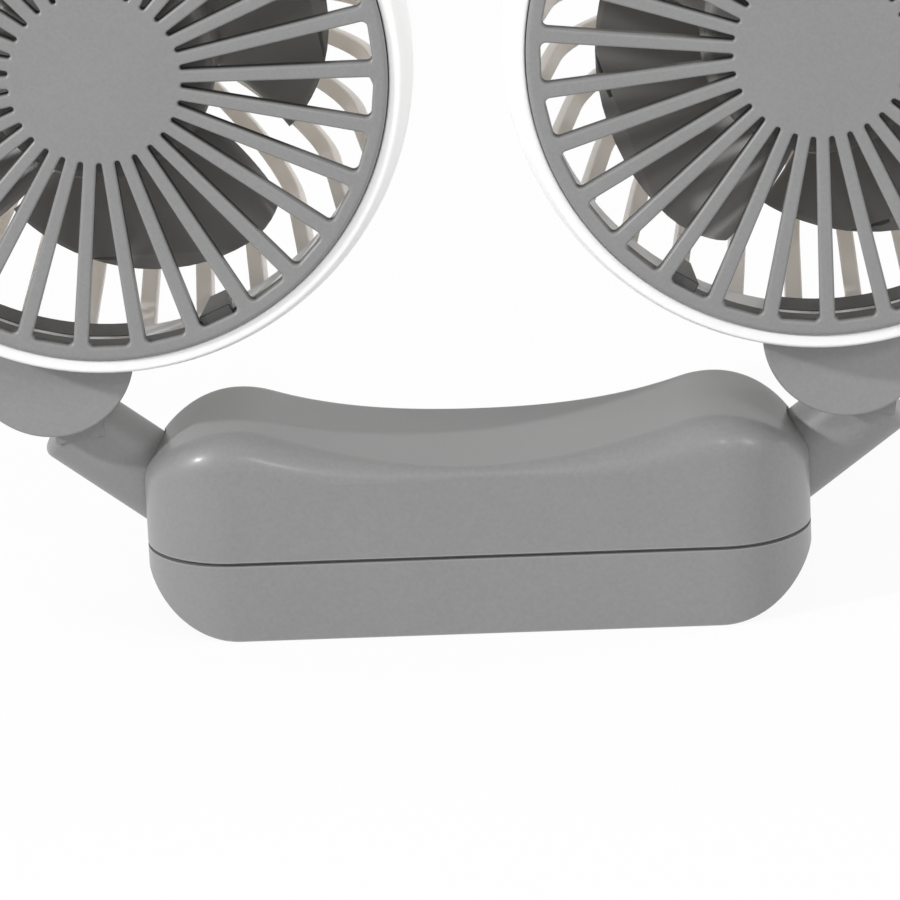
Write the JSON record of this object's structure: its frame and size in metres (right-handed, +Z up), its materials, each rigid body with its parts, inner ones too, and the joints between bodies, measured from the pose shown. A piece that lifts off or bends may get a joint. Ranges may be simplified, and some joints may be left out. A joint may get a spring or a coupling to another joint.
{
  "type": "electric neck fan",
  "caption": "Hands-free neck fan: saddle-topped power pack on a flat base, with swivelling arms that carry hinged slotted fan heads in white ribbed cages.",
  "frame": {"origin": "middle of the power pack's flat base", "axes": "+X to the right as the picture shows it, +Y away from the viewer, +Z up"},
  "size_m": [0.1886, 0.051, 0.1277],
  "materials": {
    "pack_grey": "fine satin grey",
    "arm_grey": "fine satin grey",
    "grille_grey": "fine satin grey",
    "cage_white": "satin white",
    "blade_grey": "dark satin",
    "motor_metal": "plated",
    "steel": "bright",
    "nylon": "natural nylon",
    "cell_sleeve": "shrink sleeve",
    "cradle_black": "moulded",
    "board_green": "solder mask",
    "switch_black": "moulded",
    "button_white": "satin",
    "light_clear": "clear"
  },
  "bodies": {
    "pack": {"body_upper_shell": "pack_grey", "body_lower_shell": "pack_grey", "battery_cradle": "cradle_black", "battery_cell": "cell_sleeve", "circuit_board": "board_green", "charging_inlet": "steel", "button_switch": "switch_black", "status_light": "light_clear", "pack_screw_1": "steel", "pack_screw_2": "steel", "pack_screw_3": "steel", "pack_screw_4": "steel", "arm_bush_left": "nylon", "arm_bush_right": "nylon"},
    "power_button": {"power_button": "button_white"},
    "arm_left": {"arm_left": "arm_grey", "arm_clip_left": "steel", "hinge_washer_left": "nylon"},
    "head_left": {"head_lug_left": "arm_grey", "hinge_pin_left": "steel", "front_grille_left": "grille_grey", "rear_cage_left": "cage_white", "motor_left": "motor_metal"},
    "impeller_left": {"impeller_left": "blade_grey", "motor_shaft_left": "steel"},
    "arm_right": {"arm_right": "arm_grey", "arm_clip_right": "steel", "hinge_washer_right": "nylon"},
    "head_right": {"head_lug_right": "arm_grey", "hinge_pin_right": "steel", "front_grille_right": "grille_grey", "rear_cage_right": "cage_white", "motor_right": "motor_metal"},
    "impeller_right": {"impeller_right": "blade_grey", "motor_shaft_right": "steel"}
  },
  "joints": [
    {"name": "left_arm_roll", "type": "hinge", "parent": "pack", "child": "arm_left", "pos_m": [-0.0588, 0.0047, 0.0284], "axis": [0.7986, 0, -0.6018], "range_deg": [-70, 70]},
    {"name": "left_head_swing", "type": "hinge", "parent": "arm_left", "child": "head_left", "pos_m": [-0.0575, 0.0047, 0.0339], "axis": [0, -1, 0], "range_deg": [-4, 100]},
    {"name": "left_impeller_spin", "type": "hinge", "parent": "head_left", "child": "impeller_left", "pos_m": [-0.05025, 0, 0.0836], "axis": [0, -1, 0], "continuous": true},
    {"name": "right_arm_roll", "type": "hinge", "parent": "pack", "child": "arm_right", "pos_m": [0.0588, 0.0047, 0.0284], "axis": [0.7986, 0, 0.6018], "range_deg": [-70, 70]},
    {"name": "right_head_swing", "type": "hinge", "parent": "arm_right", "child": "head_right", "pos_m": [0.0575, 0.0047, 0.0339], "axis": [0, 1, 0], "range_deg": [-4, 100]},
    {"name": "right_impeller_spin", "type": "hinge", "parent": "head_right", "child": "impeller_right", "pos_m": [0.05025, 0, 0.0836], "axis": [0, -1, 0], "continuous": true},
    {"name": "power_button_press", "type": "slide", "parent": "pack", "child": "power_button", "axis": [0, -1, 0], "range_m": [0, 0.0007], "stiffness_N_per_m": 600, "springref_m": -0.0003}
  ]
}
